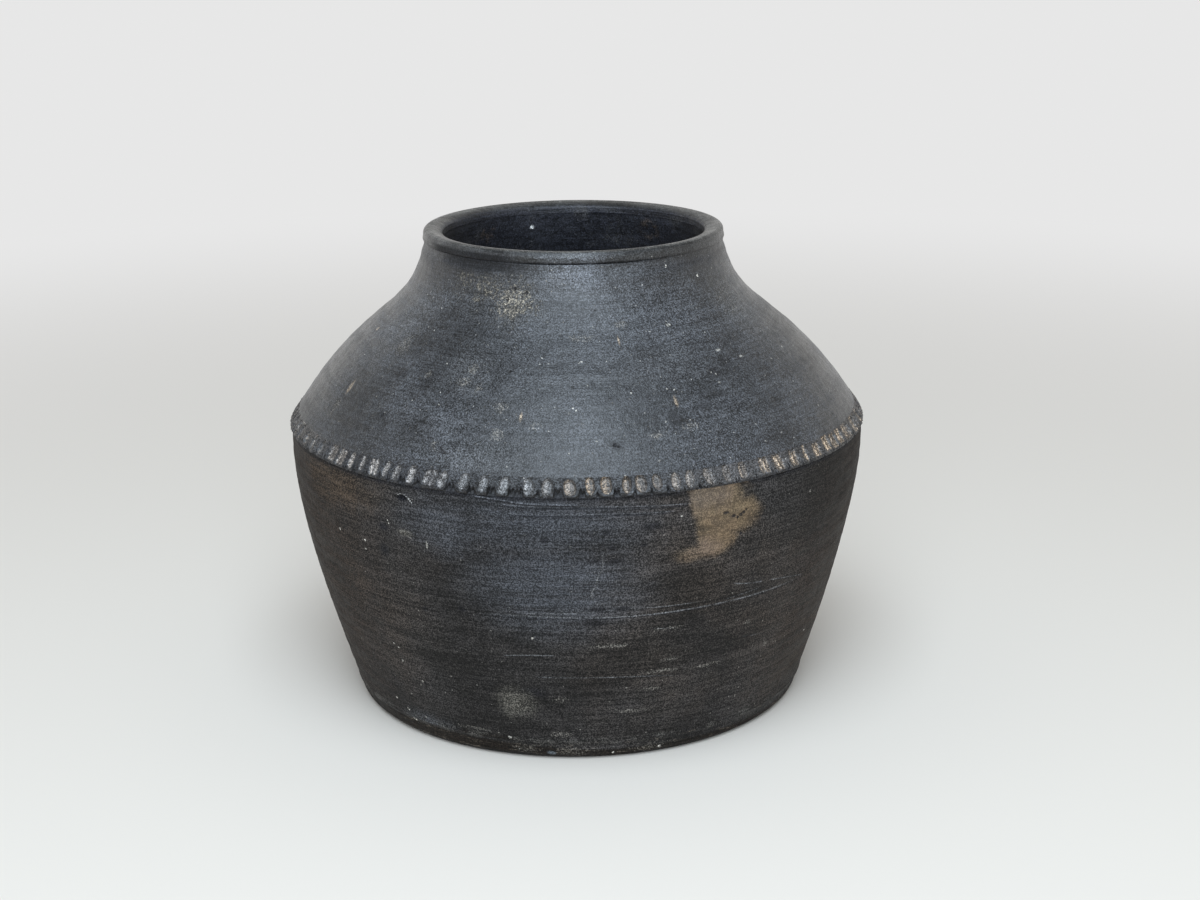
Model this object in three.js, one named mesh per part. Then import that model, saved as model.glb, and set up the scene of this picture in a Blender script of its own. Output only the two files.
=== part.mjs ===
// A wide-mouthed clay urn of black burnished earthenware, in millimetres.
// The axis of the vessel is Z and its base stands on z = 0.
// It is built up from six members of clay: a base slab, the leaning lower wall that
// stands on it, the shoulder wall that closes inward above, a short neck collar,
// a rolled rim, and a notched band bedded over the joint between the two walls.

import * as THREE from 'three';

// Outline of the vessel
const footRadius = 117.6; // outer radius where the wall line meets the ground
const bellyRadius = 148.2; // outer radius of the lower wall at the joint
const jointHeight = 149.5; // where the shoulder wall is set on the lower wall
const neckRadius = 77; // outer radius at the top of the neck collar
const neckTop = 240.4; // height at which the rim begins
const collarHeight = 17; // height of the neck collar

// Clay thickness
const baseThickness = 10;
const wallThickness = 9;
const footFillet = 10; // rounding inside, where the wall meets the base

// How the walls lean outward from upright, in degrees, and how far each lean carries
// along the curve, as a share of the straight distance between its ends
const footLean = 17.4;
const bellyLean = -6.9;
const shoulderLean = -31.4;
const neckLean = -10.8;
const footReach = 0.27;
const bellyReach = 0.27;
const shoulderReach = 0.611;
const neckReach = 0.37;
const shoulderStepIn = 0.6; // the shoulder wall starts this much inside the belly

// Heel of the base slab
const heelUndercut = 1.2; // how much narrower the underside is than the wall line
const heelRise = 2.4; // height of the worn lower edge

// Notched band
const bandHeight = 8;
const bandDrop = 4; // how far the band reaches below the joint
const bandBedding = 4.2; // depth of the seat that the band lies in
const bandSwell = 5.6; // how far the band's face is pulled out past the belly
const bandSwellRise = 1.6; // how far above its lower edge the band is pulled out most
const bandClearance = 0.3; // between the band's back and the walls

// Notches, pressed by hand and so not quite evenly spaced
const notchCount = 102;
const notchDepth = 1.9;
const notchWidth = 5;
const notchFloorShare = 0.33; // width of a notch's floor as a share of its mouth
const spacingWave = 0.34; // slow drift of the notches, as a share of their pitch
const spacingWaves = 7; // slow drifts around the vessel
const spacingJitter = 0.085; // unevenness from one notch to the next, as a share of the pitch
const jitterStep = 2.4; // how far the unevenness runs on from one notch to the next, in radians

// Rolled rim
const rimOverhang = 0.8; // the roll stands out this much past the collar
const rimWidth = 10.2;
const rimCrestInset = 3.2; // from the outer edge of the roll to its crest
const rimRise = 3.4; // from the widest level of the roll to its crest
const rimDrop = 2.4; // from the widest level down to the collar
const rimUnderTuck = 0.6; // how far the roll turns in under itself
const lipFall = 1.2; // how far the top slopes down inward before it turns over
const lipDepth = 3.2; // from the crest to where the inside of the roll stands upright
const collarBevel = 0.6; // worn upper edge of the collar, which shows as a groove

// Fineness of the model
const turnSteps = 64;
const wallSteps = 8;
const collarSteps = 3;
const arcSteps = 4;
const halvings = 40; // enough to find a height to far below a micrometre

const clayBlack = 0x35373b;
const clayWorn = 0x4a4a49;
const burnishedRoughness = 0.5;
const wallRoughness = 0.6;

// Curve of a wall from ring to ring, each a radius and a height, with its two leans.
function wallCurve(from, fromLean, fromReach, to, toLean, toReach) {
  const span = from.distanceTo(to);
  const leave = THREE.MathUtils.degToRad(fromLean);
  const arrive = THREE.MathUtils.degToRad(toLean);
  const second = new THREE.Vector2(
    from.x + Math.sin(leave) * span * fromReach,
    from.y + Math.cos(leave) * span * fromReach,
  );
  const third = new THREE.Vector2(
    to.x - Math.sin(arrive) * span * toReach,
    to.y - Math.cos(arrive) * span * toReach,
  );
  return new THREE.CubicBezierCurve(from, second, third, to);
}

const lowerCurve = wallCurve(
  new THREE.Vector2(footRadius, 0), footLean, footReach,
  new THREE.Vector2(bellyRadius, jointHeight), bellyLean, bellyReach,
);
const upperCurve = wallCurve(
  new THREE.Vector2(bellyRadius - shoulderStepIn, jointHeight), shoulderLean, shoulderReach,
  new THREE.Vector2(neckRadius, neckTop), neckLean, neckReach,
);

// Parameter of a rising curve at a given height, by halving.
function parameterAt(curve, height) {
  let low = 0;
  let high = 1;
  for (let i = 0; i < halvings; i += 1) {
    const middle = (low + high) / 2;
    if (curve.getPoint(middle).y < height) low = middle;
    else high = middle;
  }
  return (low + high) / 2;
}

function outerRadius(curve, height) {
  return curve.getPoint(parameterAt(curve, height)).x;
}

// The wall keeps its thickness square to its own lean.
function innerRadius(curve, height) {
  const t = parameterAt(curve, height);
  return curve.getPoint(t).x - wallThickness / curve.getTangent(t).y;
}

// Heights from bottom to top, both included.
function levels(bottom, top, steps) {
  return Array.from({ length: steps + 1 }, (_, i) => bottom + ((top - bottom) * i) / steps);
}

// Points of a part of an ellipse, each a radius from the axis and a height.
function arcPoints(centreRadius, centreHeight, across, up, startTurn, endTurn, steps) {
  return levels(startTurn, endTurn, steps).map((turn) => new THREE.Vector2(
    centreRadius + across * Math.cos(turn),
    centreHeight + up * Math.sin(turn),
  ));
}

// Turned solid from an outline of radii and heights, run up the outside and down the inside.
function turned(outline) {
  const onAxis = outline[0].x === 0;
  const points = onAxis ? outline : [...outline, outline[0].clone()];
  const geometry = new THREE.LatheGeometry(points, turnSteps);
  geometry.rotateX(Math.PI / 2);
  return geometry;
}

// Solid ring whose section may change around the axis. Each station is a turn and the
// closed section there, all sections with as many points.
function ringFrom(stations) {
  const rows = stations[0].section.length;
  const places = [];
  const faces = [];
  for (const { turn, section } of stations) {
    for (const point of section) {
      places.push(point.x * Math.cos(turn), point.x * Math.sin(turn), point.y);
    }
  }
  stations.forEach((_, column) => {
    const here = column * rows;
    const next = ((column + 1) % stations.length) * rows;
    for (let row = 0; row < rows; row += 1) {
      const above = (row + 1) % rows;
      faces.push(here + row, next + row, next + above);
      faces.push(here + row, next + above, here + above);
    }
  });
  const geometry = new THREE.BufferGeometry();
  geometry.setAttribute('position', new THREE.Float32BufferAttribute(places, 3));
  geometry.setIndex(faces);
  geometry.computeVertexNormals();
  return geometry;
}

const bandBottom = jointHeight - bandDrop;
const bandTop = bandBottom + bandHeight;
const seatRadius = bellyRadius - bandBedding;
const seamInnerRadius = innerRadius(upperCurve, jointHeight);
const collarBottom = neckTop - collarHeight;

function baseSlab() {
  const outline = [
    new THREE.Vector2(0, 0),
    new THREE.Vector2(footRadius - heelUndercut, 0),
    new THREE.Vector2(outerRadius(lowerCurve, heelRise), heelRise),
    new THREE.Vector2(outerRadius(lowerCurve, baseThickness), baseThickness),
    new THREE.Vector2(0, baseThickness),
  ];
  return turned(outline);
}

function lowerWall() {
  const outside = levels(baseThickness, bandBottom, wallSteps)
    .map((height) => new THREE.Vector2(outerRadius(lowerCurve, height), height));
  const seat = [
    new THREE.Vector2(seatRadius, bandBottom),
    new THREE.Vector2(seatRadius, jointHeight),
    new THREE.Vector2(seamInnerRadius, jointHeight),
  ];
  const filletTop = baseThickness + footFillet;
  const inside = levels(bandBottom - wallThickness, filletTop, wallSteps)
    .map((height) => new THREE.Vector2(innerRadius(lowerCurve, height), height));
  const filletCentre = innerRadius(lowerCurve, filletTop) - footFillet;
  const fillet = arcPoints(
    filletCentre, filletTop, footFillet, footFillet, 0, -Math.PI / 2, arcSteps,
  ).slice(1);
  return turned([...outside, ...seat, ...inside, ...fillet]);
}

function shoulderWall() {
  const seat = [
    new THREE.Vector2(seamInnerRadius, jointHeight),
    new THREE.Vector2(seatRadius, jointHeight),
    new THREE.Vector2(seatRadius, bandTop),
  ];
  const outside = levels(bandTop, collarBottom, wallSteps)
    .map((height) => new THREE.Vector2(outerRadius(upperCurve, height), height));
  const inside = levels(collarBottom, jointHeight, wallSteps).slice(0, -1)
    .map((height) => new THREE.Vector2(innerRadius(upperCurve, height), height));
  return turned([...seat, ...outside, ...inside]);
}

function neckCollar() {
  const outside = levels(collarBottom, neckTop - collarBevel, collarSteps)
    .map((height) => new THREE.Vector2(outerRadius(upperCurve, height), height));
  const bevel = [new THREE.Vector2(neckRadius - collarBevel, neckTop)];
  const inside = levels(neckTop, collarBottom, collarSteps)
    .map((height) => new THREE.Vector2(innerRadius(upperCurve, height), height));
  return turned([...outside, ...bevel, ...inside]);
}

function rimRoll() {
  const edge = neckRadius + rimOverhang;
  const crest = edge - rimCrestInset;
  const inside = edge - rimWidth;
  const widest = neckTop + rimDrop;
  const top = widest + rimRise;
  const under = arcPoints(
    edge - rimUnderTuck, widest, rimUnderTuck, rimDrop, -Math.PI / 2, 0, arcSteps,
  );
  const outer = arcPoints(
    crest, widest, rimCrestInset, rimRise, 0, Math.PI / 2, arcSteps,
  ).slice(1);
  const lip = new THREE.QuadraticBezierCurve(
    new THREE.Vector2(crest, top),
    new THREE.Vector2(inside, top - lipFall),
    new THREE.Vector2(inside, top - lipDepth),
  );
  const inner = levels(0, 1, arcSteps).slice(1).map((share) => lip.getPoint(share));
  const foot = [new THREE.Vector2(inside, neckTop)];
  return turned([...under, ...outer, ...inner, ...foot]);
}

// Where each notch was pressed, as a turn in radians. The spacing drifts, as by hand.
function notchTurns() {
  const pitch = (2 * Math.PI) / notchCount;
  return Array.from({ length: notchCount }, (_, i) => {
    const drift = spacingWave * Math.sin((i * spacingWaves * 2 * Math.PI) / notchCount);
    const jitter = spacingJitter * Math.sin(i * jitterStep);
    return pitch * (i + drift + jitter);
  });
}

// Section of the band with its face pressed in by depth at mid height.
function bandSection(depth) {
  const face = new THREE.QuadraticBezierCurve(
    new THREE.Vector2(outerRadius(lowerCurve, bandBottom), bandBottom),
    new THREE.Vector2(bellyRadius + bandSwell, bandBottom + bandSwellRise),
    new THREE.Vector2(outerRadius(upperCurve, bandTop), bandTop),
  );
  const front = levels(0, 1, arcSteps).map((share) => {
    const point = face.getPoint(share);
    point.x -= depth * Math.sin(Math.PI * share);
    return point;
  });
  const back = seatRadius + bandClearance;
  return [new THREE.Vector2(back, bandBottom), ...front, new THREE.Vector2(back, bandTop)];
}

function notchedBand() {
  const halfNotch = notchWidth / 2 / bellyRadius;
  const halfFloor = halfNotch * notchFloorShare;
  const stations = [];
  for (const turn of notchTurns()) {
    stations.push({ turn: turn - halfNotch, section: bandSection(0) });
    stations.push({ turn: turn - halfFloor, section: bandSection(notchDepth) });
    stations.push({ turn: turn + halfFloor, section: bandSection(notchDepth) });
    stations.push({ turn: turn + halfNotch, section: bandSection(0) });
  }
  return ringFrom(stations);
}

function clayMember(name, geometry, color, roughness) {
  const material = new THREE.MeshStandardMaterial({ color, roughness, metalness: 0 });
  const mesh = new THREE.Mesh(geometry, material);
  mesh.name = name;
  return mesh;
}

const urn = new THREE.Group();
urn.name = 'clay_urn';
urn.add(clayMember('base_slab', baseSlab(), clayBlack, wallRoughness));
urn.add(clayMember('lower_wall', lowerWall(), clayBlack, wallRoughness));
urn.add(clayMember('shoulder_wall', shoulderWall(), clayBlack, burnishedRoughness));
urn.add(clayMember('neck_collar', neckCollar(), clayBlack, burnishedRoughness));
urn.add(clayMember('rim_roll', rimRoll(), clayWorn, wallRoughness));
urn.add(clayMember('notched_band', notchedBand(), clayWorn, wallRoughness));

export default urn;
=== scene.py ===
# Looks of a wide-mouthed urn of black burnished clay, in metres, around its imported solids.
# Each member of clay gets one dense turned mesh with its relief in the surface itself:
# turning ridges, pressed notches, incised grooves, a blister and a worn heel.

import math

import bpy
import numpy as np
from mathutils import Matrix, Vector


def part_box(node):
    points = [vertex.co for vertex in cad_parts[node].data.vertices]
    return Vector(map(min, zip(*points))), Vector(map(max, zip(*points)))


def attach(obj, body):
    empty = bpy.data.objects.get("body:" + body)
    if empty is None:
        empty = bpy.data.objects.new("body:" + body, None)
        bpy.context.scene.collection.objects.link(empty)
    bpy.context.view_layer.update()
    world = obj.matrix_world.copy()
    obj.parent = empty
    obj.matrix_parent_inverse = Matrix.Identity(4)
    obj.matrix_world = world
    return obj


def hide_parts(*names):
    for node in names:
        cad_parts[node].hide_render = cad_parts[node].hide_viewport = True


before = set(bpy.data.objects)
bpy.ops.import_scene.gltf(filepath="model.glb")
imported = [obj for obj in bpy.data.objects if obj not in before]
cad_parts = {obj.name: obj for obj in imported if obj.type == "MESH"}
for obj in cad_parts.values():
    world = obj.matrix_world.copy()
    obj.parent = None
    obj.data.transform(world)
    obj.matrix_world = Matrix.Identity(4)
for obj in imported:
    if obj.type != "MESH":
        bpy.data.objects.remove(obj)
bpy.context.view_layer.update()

mm = 0.001

# Outline of the vessel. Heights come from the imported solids.
foot_radius = 117.6 * mm
belly_radius = 148.2 * mm
shoulder_step_in = 0.6 * mm
neck_radius = 77 * mm
wall_thickness = 9 * mm
band_bedding = 4.2 * mm
band_clearance = 0.3 * mm
band_nose = 1.6 * mm
band_nose_rise = 1.6 * mm
band_crown = 0.22 * mm
band_lap = 0.7 * mm
land_rise = 3.0 * mm
cavity_depth = 2.4 * mm
foot_fillet = 10 * mm
collar_bevel = 0.6 * mm
base_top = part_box("base_slab")[1][2]
joint_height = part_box("lower_wall")[1][2]
band_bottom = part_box("notched_band")[0][2]
band_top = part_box("notched_band")[1][2]
collar_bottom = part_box("neck_collar")[0][2]
neck_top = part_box("rim_roll")[0][2]
rim_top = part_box("rim_roll")[1][2]
skin_from = band_top + band_lap

# Leans of the two walls from upright, in degrees, and how far each carries along the curve
foot_lean, foot_reach = 17.4, 0.27
belly_lean, belly_reach = -6.9, 0.27
shoulder_lean, shoulder_reach = -31.4, 0.611
neck_lean, neck_reach = -10.8, 0.37

# Rolled rim
rim_overhang = 0.8 * mm
rim_width = 10.2 * mm
rim_crest_inset = 3.2 * mm
rim_rise = 3.4 * mm
rim_under_tuck = 0.6 * mm
lip_fall = 1.2 * mm
lip_depth = 3.2 * mm

# Relief of the skin, which is fuller at the right. Each set of waves has a rise, a seed, a
# spacing in millimetres and a drift round the vessel.
wave_count = 28
skin_waves = [(0.08, 3, 120, 3), (0.045, 5, 9, 3), (0.016, 8, 3.6, 6)]
fuller_rise = 1.2 * mm
fuller_height = 138 * mm
fuller_width = 50 * mm
heel_ridge_rise = 0.38 * mm
heel_ridge_width = 1.3 * mm
cove_height = 237.6 * mm
cove_width = 2.6 * mm
seam_shuts_right = (24, 42)
seam_shuts_left = (-54, -70)
seam_fill = 0.52 * mm
seam_fill_width = 1.5 * mm
rim_flattening = 0.45 * mm
rim_flattening_width = 1.9 * mm

# Notches of the band
notch_count = 102
columns_per_notch = 20
spacing_wave = 0.34
spacing_waves = 7
spacing_jitter = 0.085
jitter_step = 2.4
notch_width = 5.2 * mm
notch_height = 9.6 * mm
notch_lift = 0.9 * mm
notch_depth = 1.6 * mm
doubled_gap = 2.7 * mm
undercut_rows = 10
slope_rows = 22
tool_lines = 0.07 * mm
tool_spacing = 0.16 * mm
band_crumbs = 0.14 * mm
land_unevenness = 0.16
shade_width = 1.3 * mm

# Fineness of the turned meshes
wall_columns = 480
fine_columns = 720
wall_gap = 1.25 * mm
skin_gap = 0.7 * mm
fine_gap = 0.28 * mm
heel_gap = 0.6 * mm
collar_gap = 0.4 * mm
inside_gap = 4 * mm
collar_inside_gap = 2 * mm
fine_above_base = 6 * mm
fine_under_band = 10 * mm
sharp_corner = 35

# The camera of the photograph
camera_place = (12.6 * mm, -1023.2 * mm, 427.9 * mm)
camera_tilt = 16.53
camera_roll = -0.56
camera_lens = 60.0
camera_sensor = 36.0

# The floor, the room and the soft window
floor_reach = 14.0
floor_drop = 0.4 * mm
floor_paper = (0.76, 0.71, 0.645)
far_white = (0.80, 0.80, 0.80)
fade_from, fade_to = 0.3, 1.5
room_white = (0.98, 0.97, 0.95)
room_glow = 0.42
overhead_glow = 0.25
window_size = (1.3, 2.9)
window_power = 66
window_color = (0.76, 0.88, 1.0)
window_place = (-0.02, -1.38, 1.56)
window_tilt = 44
window_turn = -1

# Grain and gloss of the clay
shake_reach = 1.4 * mm
darkest_grain = 0.22
wall_gloss = 0.16
polish_gloss = 0.50
polish_dust = 0.06


class WallCurve:
    """Outline of one wall as a cubic curve, read as a radius and a lean at any height."""

    def __init__(self, start, start_lean, start_reach, end, end_lean, end_reach):
        start = np.array(start)
        end = np.array(end)
        span = np.linalg.norm(end - start)
        leave = math.radians(start_lean)
        arrive = math.radians(end_lean)
        second = start + span * start_reach * np.array([math.sin(leave), math.cos(leave)])
        third = end - span * end_reach * np.array([math.sin(arrive), math.cos(arrive)])
        t = np.linspace(0, 1, 801)[:, None]
        curve = (
            (1 - t) ** 3 * start
            + 3 * (1 - t) ** 2 * t * second
            + 3 * (1 - t) * t ** 2 * third
            + t ** 3 * end
        )
        self.radii = curve[:, 0]
        self.heights = curve[:, 1]
        self.leans = np.arctan2(np.gradient(self.radii), np.gradient(self.heights))

    def radius(self, height):
        return np.interp(height, self.heights, self.radii)

    def lean(self, height):
        return np.interp(height, self.heights, self.leans)

    def inner_radius(self, height):
        return self.radius(height) - wall_thickness / np.cos(self.lean(height))


lower_curve = WallCurve(
    (foot_radius, 0), foot_lean, foot_reach,
    (belly_radius, joint_height), belly_lean, belly_reach,
)
upper_curve = WallCurve(
    (belly_radius - shoulder_step_in, joint_height), shoulder_lean, shoulder_reach,
    (neck_radius, neck_top), neck_lean, neck_reach,
)
seat_radius = belly_radius - band_bedding
seam_inner_radius = float(upper_curve.inner_radius(joint_height))


def skin_point(degrees, height):
    """Place on the outer skin, from degrees to the right of the front and a height."""
    curve = lower_curve if height < joint_height else upper_curve
    turn = math.radians(degrees - 90)
    relief = outer_relief(turn, height) / math.cos(float(curve.lean(height)))
    radius = float(curve.radius(height)) + float(relief)
    return radius * math.cos(turn), radius * math.sin(turn), height


def smooth_step(low, high, value):
    share = np.clip((value - low) / (high - low), 0, 1)
    return share * share * (3 - 2 * share)


def hump(value, middle, width):
    """1 at the middle, falling away smoothly to either side."""
    return np.exp(-((value - middle) / width) ** 2)


def bend(first, pull, last, shares):
    """Places on a curve from the first point to the last, drawn towards another between them."""
    s = shares[:, None]
    return (1 - s) ** 2 * first + 2 * s * (1 - s) * pull + s ** 2 * last


def drag_waves(turn, height, seed, spacing, drift):
    """Uneven rings round the vessel: waves along the height that drift slowly round it."""
    chance = np.random.default_rng(seed)
    total = 0
    for _ in range(wave_count):
        around = chance.integers(-drift, drift + 1)
        length = spacing * chance.uniform(0.65, 1.6)
        phase = chance.uniform(0, 2 * math.pi)
        total = total + np.sin(around * turn + 2 * math.pi * height / length + phase)
    return total / math.sqrt(wave_count / 2)


def front_degrees(turn):
    """Turn in degrees from the photographed front, to the right, from -180 to 180."""
    return (np.degrees(turn) + 90 + 180) % 360 - 180


def groove(turn, height, places, width):
    """A dragged line through places of degrees and millimetres, fading at both ends."""
    degrees = front_degrees(turn)
    stops = np.array(places, float)
    fade = 0.2 * (stops[-1, 0] - stops[0, 0])
    middle = np.interp(degrees, stops[:, 0], stops[:, 1]) * mm
    starting = smooth_step(stops[0, 0], stops[0, 0] + fade, degrees)
    ending = 1 - smooth_step(stops[-1, 0] - fade, stops[-1, 0], degrees)
    return starting * ending * hump(height, middle, width)


def blister(turn, height, degrees, middle, wide, tall):
    """A burst bubble: a lens-shaped hollow under a thin raised lid."""
    across = (front_degrees(turn) - degrees) * math.radians(1) * belly_radius / wide
    up = (height - middle * mm) / tall + 0.35 * across
    hollow = np.clip(1 - across ** 2 - up ** 2, 0, 1)
    lid = hump(up + across ** 2, 1.1, 0.35) * np.clip(1.3 - across ** 2, 0, 1)
    return 0.45 * mm * lid - 1.1 * mm * hollow


def closing(degrees):
    """How far the seam under the rim is smeared shut: open in front, shut all the way behind."""
    right = smooth_step(*seam_shuts_right, degrees)
    left = smooth_step(*seam_shuts_left, degrees)
    return np.maximum(right, left)


# Lines dragged into the skin: rise and half width in millimetres, then degrees and heights
dragged_lines = [
    (0.28, 0.50, [(-19, 145.2), (-13, 143.7), (-9.5, 142.7), (-5, 142.2), (2, 142)]),
    (-0.50, 0.42, [(-15, 141.8), (-7, 140.8), (3, 140.7), (14, 139.6), (24, 138.6)]),
    (-0.40, 0.38, [(-13, 137.1), (1, 137.1), (14, 136.4), (19, 136)]),
    (-0.42, 0.42, [(95, 140), (120, 139.2), (150, 138.6), (172, 138.7)]),
    (-0.36, 0.40, [(-165, 141.5), (-140, 140.6), (-110, 140.9), (-88, 141.4)]),
    (-0.30, 0.45, [(-26, 240.0), (-10, 240.1), (8, 240.0), (24, 239.8), (40, 239.9)]),
]


def outer_relief(turn, height):
    """How far the skin stands out of the plain outline, in metres."""
    fuller_side = 0.5 + 0.5 * np.cos(turn)
    relief = fuller_rise * fuller_side * hump(height, fuller_height, fuller_width)
    for rise, seed, spacing, drift in skin_waves:
        relief += rise * mm * drag_waves(turn, height, seed, spacing * mm, drift)
    for rise, width, places in dragged_lines:
        relief += rise * mm * groove(turn, height, places, width * mm)
    relief += blister(turn, height, -32.7, 139.0, 3.0 * mm, 1.8 * mm)
    seam = base_top + 0.5 * mm * np.sin(3 * turn + 1) + 0.3 * mm * np.sin(7 * turn)
    uneven = 1 + 0.4 * np.sin(11 * turn) * np.sin(4 * turn + 2)
    relief += heel_ridge_rise * (hump(height, seam, heel_ridge_width) * uneven)
    degrees = front_degrees(turn)
    cove = 0.22 * mm + 0.5 * mm * hump(np.abs(degrees), 52, 26)
    relief -= cove * hump(height, cove_height, cove_width)
    shut = closing(degrees)
    relief += seam_fill * shut * hump(height, neck_top, seam_fill_width)
    relief -= rim_flattening * shut * hump(height, rim_top - rim_rise, rim_flattening_width)
    return relief


def row_heights(low, high, gap):
    count = max(2, int(round((high - low) / gap)) + 1)
    return np.linspace(low, high, count)


def skin_rows(curve, heights):
    """Rows of an outer skin, each a radius, a height, a weight of the relief and no soot or painted
    shade.
    """
    return [
        (float(curve.radius(h)), float(h), 1 / math.cos(float(curve.lean(h))), 0.0)
        for h in heights
    ]


def plain_rows(pairs, soot_and_shade=0.0):
    return [(radius, height, 0.0, soot_and_shade) for radius, height in pairs]


def inner_rows(curve, heights):
    return plain_rows([(float(curve.inner_radius(h)), float(h)) for h in heights], 1.0)


def turned(radius, turn, height):
    """Points at a radius and a height, each turned about the upright axis."""
    across = radius * np.cos(turn)
    return np.stack([across, radius * np.sin(turn), np.broadcast_to(height, across.shape)], -1)


def ring_points(rows, turns):
    """Points of a turned ring, columns by rows, with the relief laid on radially."""
    radius, height, weight, _ = np.array(rows).T[:, None]
    turn = turns[:, None]
    return turned(radius + weight * outer_relief(turn, height), turn, height)


def ring_faces(count, rows, closed):
    """Faces between neighbouring columns, and from the last row to the first where closed."""
    here = np.arange(count * rows).reshape(count, rows)
    right = np.roll(here, -1, axis=0)
    if closed:
        faces = [here, right, np.roll(right, -1, axis=1), np.roll(here, -1, axis=1)]
    else:
        faces = [here[:, :-1], right[:, :-1], right[:, 1:], here[:, 1:]]
    return np.stack(faces, -1).reshape(-1, 4).tolist()


def finished_mesh(name, points, faces):
    mesh = bpy.data.meshes.new(name)
    mesh.from_pydata(points.tolist(), [], faces)
    mesh.shade_smooth()
    mesh.set_sharp_from_angle(angle=math.radians(sharp_corner))
    piece = bpy.data.objects.new(name, mesh)
    bpy.context.collection.objects.link(piece)
    return piece


def paint(piece, layer_name, values):
    """One number for each point of a piece, for its material to read."""
    layer = piece.data.attributes.new(layer_name, "FLOAT", "POINT")
    layer.data.foreach_set("value", np.asarray(values, np.float32).reshape(-1))


def turned_piece(name, rows, turns):
    """A closed ring turned from rows, with the soot and painted shade of its inside laid on."""
    points = ring_points(rows, turns)
    piece = finished_mesh(name, points.reshape(-1, 3), ring_faces(*points.shape[:2], closed=True))
    paint(piece, "soot_and_shade", np.tile([row[3] for row in rows], len(turns)))
    return piece


def even_turns(count):
    return np.arange(count) * 2 * math.pi / count


def base_slab():
    """The disc under the urn, closed by a fan to its middle above and below."""
    under = plain_rows([(30 * mm, 0), (80 * mm, 0), (foot_radius - 2.6 * mm, 0)])
    worn = [
        (foot_radius - 1.6 * mm, 0.25 * mm, 0.2, 0.0),
        (foot_radius - 0.8 * mm, 0.9 * mm, 0.5, 0.0),
        (float(lower_curve.radius(2.2 * mm)) - 0.2 * mm, 2.2 * mm, 0.8, 0.0),
    ]
    heel = skin_rows(lower_curve, row_heights(3.2 * mm, base_top, heel_gap))
    top = plain_rows([(100 * mm, base_top), (50 * mm, base_top)], 1.0)
    rows = under + worn + heel + top
    points = ring_points(rows, even_turns(fine_columns))
    faces = ring_faces(*points.shape[:2], closed=False)
    row_count = len(rows)
    low_middle = fine_columns * row_count
    high_middle = low_middle + 1
    for column in range(fine_columns):
        here = column * row_count
        right = (column + 1) % fine_columns * row_count
        faces.append([low_middle, right, here])
        faces.append([high_middle, here + row_count - 1, right + row_count - 1])
    middles = np.array([[0, 0, 0], [0, 0, base_top]])
    piece = finished_mesh(
        "base_slab_dressed", np.concatenate([points.reshape(-1, 3), middles]), faces
    )
    paint(piece, "soot_and_shade", np.append(np.tile([row[3] for row in rows], fine_columns), [0, 1]))
    return piece


def lower_wall():
    fine_from = band_bottom - fine_under_band
    heel_to = base_top + fine_above_base
    outside = skin_rows(lower_curve, np.concatenate([
        row_heights(base_top, heel_to, heel_gap)[:-1],
        row_heights(heel_to, fine_from, wall_gap)[:-1],
        row_heights(fine_from, band_bottom, fine_gap),
    ]))
    seat = plain_rows([
        (seat_radius, band_bottom),
        (seat_radius, joint_height),
        (seam_inner_radius, joint_height),
    ])
    fillet_top = base_top + foot_fillet
    inside = inner_rows(
        lower_curve, row_heights(fillet_top, band_bottom - wall_thickness, inside_gap)[::-1]
    )
    fillet_middle = float(lower_curve.inner_radius(fillet_top)) - foot_fillet
    fillet = plain_rows([
        (fillet_middle + foot_fillet * math.cos(a), fillet_top - foot_fillet * math.sin(a))
        for a in np.linspace(0, math.pi / 2, 9)[1:]
    ], 1.0)
    near_blister = np.radians(np.arange(-36, -29, 0.2) - 90) % (2 * math.pi)
    turns = np.unique(np.concatenate([even_turns(wall_columns), near_blister]))
    return turned_piece("lower_wall_dressed", outside + seat + inside + fillet, turns)


def shoulder_wall():
    seat = plain_rows([
        (seam_inner_radius, joint_height),
        (seat_radius, joint_height),
        (seat_radius, band_top),
    ])
    outside = skin_rows(upper_curve, row_heights(skin_from, collar_bottom, skin_gap))
    inside = inner_rows(
        upper_curve, row_heights(joint_height, collar_bottom, inside_gap)[::-1][:-1]
    )
    return turned_piece("shoulder_wall_dressed", seat + outside + inside, even_turns(fine_columns))


def neck_collar():
    outside = skin_rows(upper_curve, row_heights(collar_bottom, neck_top - collar_bevel, collar_gap))
    edge = [
        (neck_radius - 0.3 * collar_bevel, neck_top - 0.4 * collar_bevel, 1.4, 0.0),
        (neck_radius - collar_bevel, neck_top, 2.2, 0.0),
    ]
    inside = inner_rows(
        upper_curve, row_heights(collar_bottom, neck_top, collar_inside_gap)[::-1]
    )
    return turned_piece("neck_collar_dressed", outside + edge + inside, even_turns(fine_columns))


def rim_roll():
    edge = neck_radius + rim_overhang
    crest = edge - rim_crest_inset
    inside = edge - rim_width
    widest = rim_top - rim_rise
    drop = widest - neck_top
    under = [
        (
            edge - rim_under_tuck + rim_under_tuck * math.cos(a),
            widest + drop * math.sin(a), 0.4 + 0.6 * math.cos(a), 0.0,
        )
        for a in np.linspace(-math.pi / 2, 0, 9)
    ]
    over = [
        (crest + rim_crest_inset * math.cos(a), widest + rim_rise * math.sin(a), math.cos(a), 0.0)
        for a in np.linspace(0, math.pi / 2, 19)[1:]
    ]
    shares = np.linspace(0, 1, 17)[1:]
    corners = np.array([(crest, rim_top), (inside, rim_top - lip_fall), (inside, rim_top - lip_depth)])
    # The lip grows darker with soot and painted shade as it turns down into the inside
    lip = [
        (*place, 0.0, soot_and_shade)
        for place, soot_and_shade in zip(bend(*corners, shares), smooth_step(0.45, 0.8, shares))
    ]
    foot = plain_rows([(inside, neck_top)], 1.0)
    return turned_piece("rim_roll_dressed", under + over + lip + foot, even_turns(fine_columns))


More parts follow.
